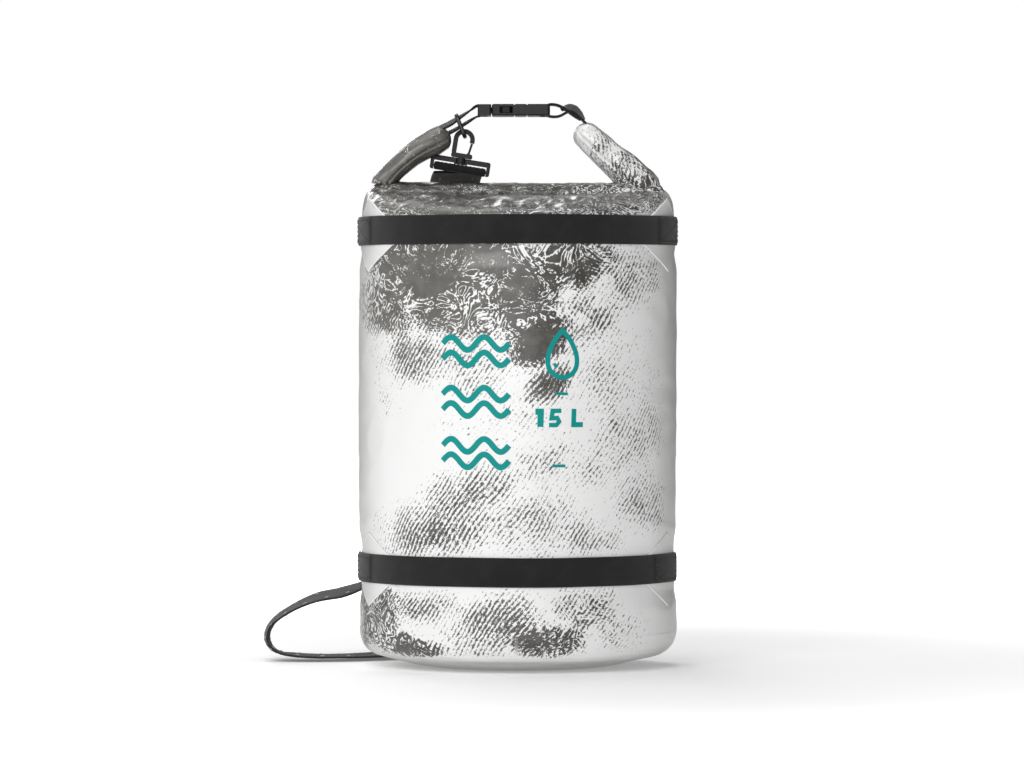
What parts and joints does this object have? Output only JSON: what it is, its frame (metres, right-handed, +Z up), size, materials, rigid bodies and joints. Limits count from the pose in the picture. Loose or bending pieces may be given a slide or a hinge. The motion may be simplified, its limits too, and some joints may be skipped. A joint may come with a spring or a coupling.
{
  "type": "roll-top dry bag",
  "caption": "Cylindrical waterproof bag with a rolled top that buckles into a handle, webbing bands, a swivel hook and a shoulder strap.",
  "frame": {"origin": "middle of the flat foot, on the bag's axis", "axes": "+Z up along the bag's axis, -Y out of the printed front, +X towards the buckle's socket side"},
  "size_m": [0.3053, 0.2604, 0.4111],
  "materials": {
    "printed_tarp": "glossy coated fabric, white with a dark brown-grey print",
    "white_tarp": "glossy coated fabric, plain white",
    "seam_tape": "thin welded tape",
    "webbing": "black woven webbing, 20 mm wide",
    "strap_webbing": "black woven webbing, 38 mm wide",
    "stiffener": "flexible plastic strip",
    "buckle_plastic": "black moulded acetal",
    "hook_plastic": "black moulded acetal",
    "ring_metal": "black coated wire"
  },
  "bodies": {
    "bag": {"body_shell": "printed_tarp", "base_panel": "white_tarp", "base_seam_tape": "seam_tape", "back_seam_tape": "seam_tape", "upper_band": "webbing", "lower_band": "webbing", "upper_left_diamond": "white_tarp", "upper_right_diamond": "white_tarp", "lower_left_diamond": "white_tarp", "lower_right_diamond": "white_tarp", "roll_middle": "printed_tarp", "roll_end_left": "printed_tarp", "roll_end_right": "printed_tarp", "mouth_stiffener": "stiffener", "left_closure_webbing": "webbing", "buckle_plug": "buckle_plastic", "lower_patch": "white_tarp", "lower_tab": "webbing", "shoulder_strap": "strap_webbing"},
    "prong_front": {"buckle_prong_front": "buckle_plastic"},
    "prong_back": {"buckle_prong_back": "buckle_plastic"},
    "socket_end": {"buckle_socket": "buckle_plastic", "right_closure_webbing": "webbing"},
    "ring": {"hanger_ring": "ring_metal"},
    "hook": {"hook_frame": "hook_plastic"},
    "gate": {"hook_gate": "hook_plastic"},
    "hook_foot": {"hook_base": "hook_plastic", "strap_upper_loop": "strap_webbing"},
    "low_ring": {"lower_ring": "ring_metal", "strap_lower_loop": "strap_webbing"}
  },
  "joints": [
    {"name": "socket_release", "type": "slide", "parent": "bag", "child": "socket_end", "axis": [1, 0, 0], "range_m": [0, 0.027], "deforming": ["roll_end_right", "buckle_prong_front", "buckle_prong_back"]},
    {"name": "prong_front_squeeze", "type": "hinge", "parent": "bag", "child": "prong_front", "pos_m": [-0.0193, -0.0088, 0.4068], "axis": [0, 0, 1], "range_deg": [0, 9], "stiffness_Nm_per_rad": 0.4},
    {"name": "prong_back_squeeze", "type": "hinge", "parent": "bag", "child": "prong_back", "pos_m": [-0.0193, 0.0088, 0.4068], "axis": [0, 0, 1], "range_deg": [-9, 0], "stiffness_Nm_per_rad": 0.4},
    {"name": "ring_swing", "type": "hinge", "parent": "bag", "child": "ring", "pos_m": [-0.045, 0, 0.4027], "axis": [0, 1, 0], "range_deg": [-10, 3], "deforming": ["shoulder_strap"]},
    {"name": "hook_swing", "type": "hinge", "parent": "ring", "child": "hook", "pos_m": [-0.03901, 0, 0.38787], "axis": [0, 1, 0], "range_deg": [-12, 1.5], "deforming": ["shoulder_strap"]},
    {"name": "gate_open", "type": "hinge", "parent": "hook", "child": "gate", "pos_m": [-0.03624, 0, 0.37467], "axis": [0, 1, 0], "range_deg": [-25, 0], "stiffness_Nm_per_rad": 0.02},
    {"name": "foot_swivel", "type": "hinge", "parent": "hook", "child": "hook_foot", "pos_m": [-0.04157, 0, 0.37167], "axis": [0.1564, 0, 0.9877], "range_deg": [-12, 12], "deforming": ["shoulder_strap"]},
    {"name": "lower_ring_swing", "type": "hinge", "parent": "bag", "child": "low_ring", "pos_m": [0, 0.1209, 0.062], "axis": [1, 0, 0], "range_deg": [0, 80], "deforming": ["shoulder_strap"]}
  ],
  "couplings": [
    {"joint": "prong_back_squeeze", "follows": "prong_front_squeeze", "ratio": -1}
  ]
}
